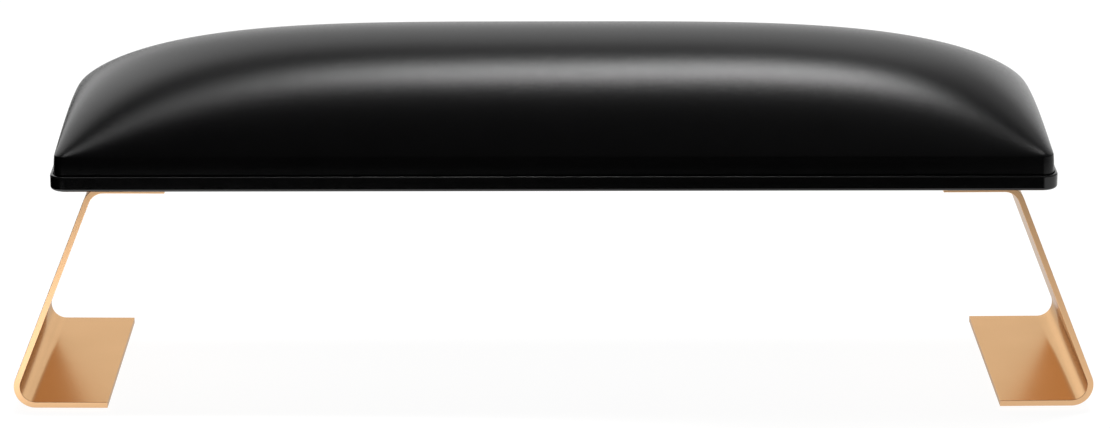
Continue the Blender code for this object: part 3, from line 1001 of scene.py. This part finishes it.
def floor():
    """A pale floor, white where it is seen and a little darker in the object's shadow.

    In front of what the camera sees it glows at the left for the reflections, and its front edge
    lies further forward at the right.
    """
    material = bpy.data.materials.new("pale floor")
    material.use_nodes = True
    tree = material.node_tree
    tree.nodes.clear()
    matt = tree.nodes.new("ShaderNodeBsdfDiffuse")
    matt.inputs["Color"].default_value = (FLOOR_COLOR, FLOOR_COLOR, FLOOR_COLOR, 1.0)
    place = parted(tree, "Object")
    across = stepped(tree, place["X"], FLOOR_GLOW_SPAN, *FLOOR_GLOW_GAINS)
    in_front = stepped(tree, place["Y"], FLOOR_GLOW_BORDER, 0.0, 1.0)
    level = calculated(tree, "ADD", calculated(tree, "MULTIPLY", across, in_front), 1.0)
    white = tree.nodes.new("ShaderNodeEmission")
    tree.links.new(calculated(tree, "MULTIPLY", level, FLOOR_WHITE), white.inputs["Strength"])
    share = calculated(tree, "MULTIPLY", seen_rays(tree), FLOOR_WHITE_SHARE)
    mix = tree.nodes.new("ShaderNodeMixShader")
    tree.links.new(share, mix.inputs[0])
    tree.links.new(matt.outputs[0], mix.inputs[1])
    tree.links.new(white.outputs[0], mix.inputs[2])
    out = tree.nodes.new("ShaderNodeOutputMaterial")
    tree.links.new(mix.outputs[0], out.inputs["Surface"])
    bm = bmesh.new()
    corners = [(FLOOR_LEFT, FLOOR_FRONT), (FLOOR_SIDE_START, FLOOR_FRONT)]
    corners += [(FLOOR_SIDE_START, FLOOR_SIDE_FRONT), (FLOOR_REACH, FLOOR_SIDE_FRONT)]
    corners += [(FLOOR_REACH, FLOOR_REACH), (FLOOR_LEFT, FLOOR_REACH)]
    bm.faces.new([bm.verts.new((x, y, 0.0)) for x, y in corners])
    made = finish_object("pale_floor", bm, material)


def backdrop_level(tree, turn, height):
    """The backdrop behind: it brightens upwards, dims to its sides and has two uneven panels."""
    rising = stepped(tree, height, RISE_BORDER, 1.0, RISE_GAIN)
    under_top = stepped(tree, height, TOP_BORDER, 1.0, WORLD_TOP / WORLD_BACK)
    backdrop = calculated(tree, "MULTIPLY", rising, under_top)
    left = calculated(tree, "MULTIPLY", between(tree, turn, *LEFT_PANEL), LEFT_PANEL_GAIN)
    right_gain = stepped(tree, height, RIGHT_PANEL_BORDER, *RIGHT_PANEL_GAINS)
    right = calculated(tree, "MULTIPLY", between(tree, turn, *RIGHT_PANEL), right_gain)
    gain = calculated(tree, "ADD", calculated(tree, "ADD", left, right), 1.0)
    left_end = stepped(tree, turn, LEFT_END_BORDER, 0.0, 1.0)
    right_end = stepped(tree, turn, RIGHT_END_BORDER, 1.0, RIGHT_END_GAIN)
    beside = calculated(tree, "MULTIPLY", gain, calculated(tree, "MULTIPLY", left_end, right_end))
    return calculated(tree, "MULTIPLY", calculated(tree, "MULTIPLY", backdrop, beside), WORLD_BACK)


def world():
    """White where the camera looks; else a white backdrop behind, and dim in front and above."""
    made = bpy.data.worlds.new("studio")
    bpy.context.scene.world = made
    made.use_nodes = True
    tree = made.node_tree
    tree.nodes.clear()
    direction = parted(tree, "Generated")
    depth = calculated(tree, "MAXIMUM", direction["Y"], LEAST_DEPTH)
    turn = calculated(tree, "DIVIDE", direction["X"], depth)
    rear = backdrop_level(tree, turn, direction["Z"])
    behind = stepped(tree, direction["Y"], BACK_BORDER, 0.0, 1.0)
    over_floor = stepped(tree, direction["Z"], HORIZON_BORDER, WORLD_BELOW, 1.0)
    front = calculated(tree, "MULTIPLY", calculated(tree, "SUBTRACT", 1.0, behind), WORLD_FRONT)
    front_gain = stepped(tree, direction["X"], FRONT_BORDER, 1.0, FRONT_GAIN)
    front = calculated(tree, "MULTIPLY", front, front_gain)
    studio = calculated(tree, "ADD", calculated(tree, "MULTIPLY", rear, behind), front)
    studio = calculated(tree, "MULTIPLY", studio, over_floor)
    camera_ray = tree.nodes.new("ShaderNodeLightPath").outputs["Is Camera Ray"]
    background = tree.nodes.new("ShaderNodeBackground")
    lifted = calculated(tree, "MULTIPLY", calculated(tree, "SUBTRACT", 1.0, camera_ray), studio)
    tree.links.new(calculated(tree, "ADD", lifted, camera_ray), background.inputs["Strength"])
    out = tree.nodes.new("ShaderNodeOutputWorld")
    tree.links.new(background.outputs[0], out.inputs["Surface"])


def softbox(name, place, size, power):
    """A long lamp overhead whose long side rises to the rear at the right."""
    lamp = bpy.data.lights.new(name, "AREA")
    lamp.shape = "RECTANGLE"
    lamp.size, lamp.size_y = size
    lamp.energy = power
    obj = bpy.data.objects.new(name, lamp)
    bpy.context.scene.collection.objects.link(obj)
    back = (Vector(place) - Vector((0.0, 0.0, COVER_HIGH.z))).normalized()
    along = Vector((math.cos(SOFTBOX_TURN), math.sin(SOFTBOX_TURN), 0.0))
    along = (along - along.project(back)).normalized()
    turn = Matrix((along, back.cross(along), back)).transposed().to_4x4()
    obj.matrix_world = Matrix.Translation(place) @ turn


def camera():
    data = bpy.data.cameras.new("photo camera")
    data.lens = CAMERA_LENS
    data.sensor_width = SENSOR_WIDTH
    obj = bpy.data.objects.new("photo camera", data)
    bpy.context.scene.collection.objects.link(obj)
    turn = Matrix.Rotation(-CAMERA_YAW, 4, "Z")
    turn = turn @ Matrix.Rotation(math.pi / 2 - CAMERA_PITCH, 4, "X")
    turn = turn @ Matrix.Rotation(CAMERA_ROLL, 4, "Z")
    obj.matrix_world = Matrix.Translation(CAMERA_PLACE) @ turn
    bpy.context.scene.camera = obj


def main():
    bpy.context.scene.view_settings.view_transform = "Standard"
    camera()
    world()
    softbox("softbox", SOFTBOX_PLACE, SOFTBOX_SIZE, SOFTBOX_POWER)
    softbox("side box", SIDE_BOX_PLACE, SIDE_BOX_SIZE, SIDE_BOX_POWER)
    floor()
    leather = leatherette()
    zinc = zinc_plate()
    metal = rose_gold()
    cushion_cover(leather)
    cushion_foam(moulded_foam())
    moulded_tray(tray_plastic())
    bent_leg("bent_leg_right", "right_leg", 1, metal)
    bent_leg("bent_leg_left", "left_leg", -1, metal)
    pan_screws(zinc)
    foot_grips(grip_rubber())
    finish_nodes("pad_board", plywood())
    finish_nodes("tee_nut_", zinc)
    finish_nodes("staple_", zinc)


main()
